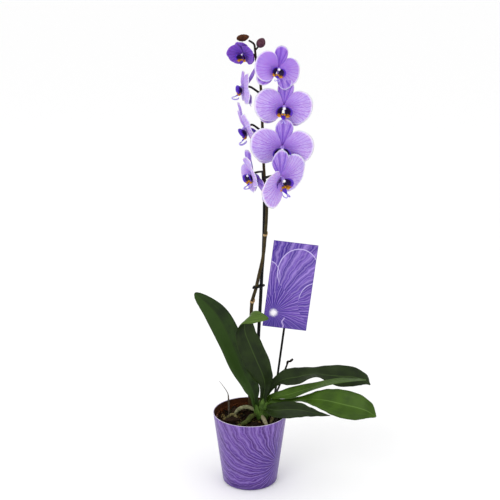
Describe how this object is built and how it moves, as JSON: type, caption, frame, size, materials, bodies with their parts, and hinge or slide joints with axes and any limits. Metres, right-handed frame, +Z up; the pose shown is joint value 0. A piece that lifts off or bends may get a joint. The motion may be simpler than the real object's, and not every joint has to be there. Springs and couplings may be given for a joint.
{
  "type": "potted orchid",
  "caption": "Moth orchid in flower on a staked spike, with strap leaves, bark and aerial roots, in a tapered printed cover pot with a blank picture card.",
  "frame": {"origin": "middle of the flat underside of the cover pot, on the pot's axis", "axes": "+Z up along the pot's axis, -Y towards the front, the side that the open flowers face, +X to the right seen from the front"},
  "size_m": [0.3026, 0.1848, 0.756],
  "materials": {
    "cover_print": "thin printed plastic, satin, purple petal pattern outside and reddish brown inside",
    "pot_plastic": "thin clear grey plastic, moulded",
    "bark": "coarse broken bark, matt",
    "root": "grey-green velvety aerial root",
    "dry_stem": "dried brown stem, matt",
    "crown": "green stem base, satin",
    "leaf": "dark green leathery leaf, satin",
    "leaf_light": "mid green leathery leaf, satin",
    "spike": "brown-green stalk with darker specks, satin",
    "petal": "lilac petal with darker veins, velvety",
    "lip": "deep violet lip with yellow edges, waxy",
    "column": "pale lilac column and dark stalk, waxy",
    "bud": "dull purple-brown bud",
    "black_plastic": "black plastic",
    "wire": "thin dark coated wire",
    "card_print": "printed card with a satin face"
  },
  "bodies": {
    "root": {"pot_cover": "cover_print", "grow_pot": "pot_plastic", "bark_medium": "bark", "bark_chip_1": "bark", "bark_chip_2": "bark", "bark_chip_3": "bark", "bark_chip_4": "bark", "crown": "crown", "leaf_tall_left": "leaf", "leaf_folded": "leaf", "leaf_right_back": "leaf", "leaf_right_edge": "leaf", "leaf_right_front": "leaf_light", "leaf_right_low": "leaf", "root_arch": "root", "root_front": "root", "root_low": "root", "root_back": "root", "dry_root": "dry_stem", "cut_spike": "dry_stem", "flower_spike": "spike", "stake": "black_plastic", "stake_clip": "black_plastic", "card": "card_print", "card_stick": "black_plastic", "wire_hoop": "wire", "top_bud": "bud", "brown_bud": "dry_stem", "flower_1_sepals": "petal", "flower_1_petals": "petal", "flower_1_lip": "lip", "flower_1_column": "column", "flower_2_sepals": "petal", "flower_2_petals": "petal", "flower_2_lip": "lip", "flower_2_column": "column", "flower_3_sepals": "petal", "flower_3_petals": "petal", "flower_3_lip": "lip", "flower_3_column": "column", "flower_4_sepals": "petal", "flower_4_petals": "petal", "flower_4_lip": "lip", "flower_4_column": "column", "flower_5_sepals": "petal", "flower_5_petals": "petal", "flower_5_lip": "lip", "flower_5_column": "column", "flower_6_sepals": "petal", "flower_6_petals": "petal", "flower_6_lip": "lip", "flower_6_column": "column", "flower_7_sepals": "petal", "flower_7_petals": "petal", "flower_7_lip": "lip", "flower_7_column": "column", "flower_8_sepals": "petal", "flower_8_petals": "petal", "flower_8_column": "column"}
  },
  "joints": []
}
